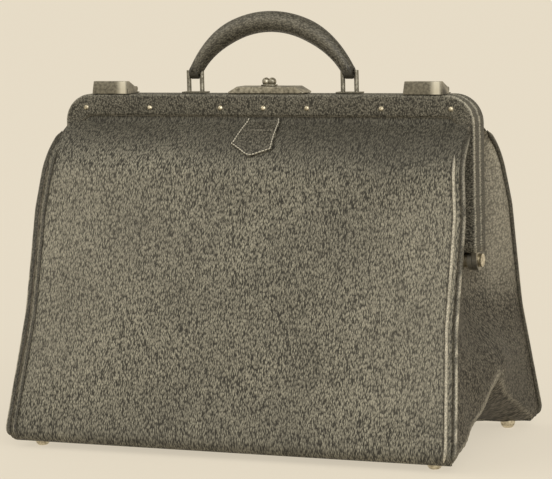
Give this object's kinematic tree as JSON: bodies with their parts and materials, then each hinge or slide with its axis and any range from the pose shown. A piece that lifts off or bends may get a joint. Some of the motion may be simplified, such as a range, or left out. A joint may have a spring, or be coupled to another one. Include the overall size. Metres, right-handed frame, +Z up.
{
  "type": "framed leather travelling bag",
  "caption": "Black grained leather travelling bag with a hinged steel frame, top lock, side catches, rolled handle and tucked gussets.",
  "frame": {"origin": "on the floor, below the middle of the bag", "axes": "+X along the bag's length, -Y towards its front, +Z up"},
  "size_m": [0.4404, 0.2416, 0.3932],
  "materials": {
    "body_leather": "long grain",
    "trim_leather": "smooth",
    "brass": "polished and lightly worn",
    "frame_steel": "plain",
    "board": "pressed board"
  },
  "bodies": {
    "bag": {"body_hide": "body_leather", "left_gusset": "body_leather", "right_gusset": "body_leather", "base_board": "board", "foot_studs": "brass", "front_left_welt": "trim_leather", "front_right_welt": "trim_leather", "rear_left_welt": "trim_leather", "rear_right_welt": "trim_leather", "left_pivot_rivet": "brass", "right_pivot_rivet": "brass"},
    "front_jaw": {"front_frame": "frame_steel", "front_frame_cover": "trim_leather", "front_frame_rivets": "brass", "front_shoulder": "body_leather", "front_left_wing": "body_leather", "front_right_wing": "body_leather", "front_left_shoulder_welt": "trim_leather", "front_right_shoulder_welt": "trim_leather", "lock_tab": "trim_leather", "lock_tongue": "brass"},
    "rear_jaw": {"rear_frame": "frame_steel", "rear_frame_cover": "trim_leather", "rear_frame_rivets": "brass", "rear_shoulder": "body_leather", "rear_left_wing": "body_leather", "rear_right_wing": "body_leather", "rear_left_shoulder_welt": "trim_leather", "rear_right_shoulder_welt": "trim_leather", "lock_case": "brass", "left_handle_loop": "brass", "right_handle_loop": "brass", "left_catch_base": "brass", "right_catch_base": "brass"},
    "handle": {"handle_grip": "trim_leather", "left_handle_tab": "trim_leather", "right_handle_tab": "trim_leather"},
    "thumb_slide": {"lock_slide": "brass"},
    "left_catch": {"left_catch_flap": "brass"},
    "right_catch": {"right_catch_flap": "brass"}
  },
  "joints": [
    {"name": "front_jaw_hinge", "type": "hinge", "parent": "bag", "child": "front_jaw", "pos_m": [0, 0, 0.17], "axis": [1, 0, 0], "range_deg": [0, 38]},
    {"name": "rear_jaw_hinge", "type": "hinge", "parent": "bag", "child": "rear_jaw", "pos_m": [0, 0, 0.17], "axis": [-1, 0, 0], "range_deg": [0, 38]},
    {"name": "handle_swing", "type": "hinge", "parent": "rear_jaw", "child": "handle", "pos_m": [0, 0.0075, 0.337], "axis": [-1, 0, 0], "range_deg": [-90, 90]},
    {"name": "thumb_slide_travel", "type": "slide", "parent": "rear_jaw", "child": "thumb_slide", "axis": [-1, 0, 0], "range_m": [0, 0.007]},
    {"name": "left_catch_hinge", "type": "hinge", "parent": "rear_jaw", "child": "left_catch", "pos_m": [-0.155, 0.0095, 0.3217], "axis": [-1, 0, 0], "range_deg": [0, 100]},
    {"name": "right_catch_hinge", "type": "hinge", "parent": "rear_jaw", "child": "right_catch", "pos_m": [0.155, 0.0095, 0.3217], "axis": [-1, 0, 0], "range_deg": [0, 100]}
  ]
}
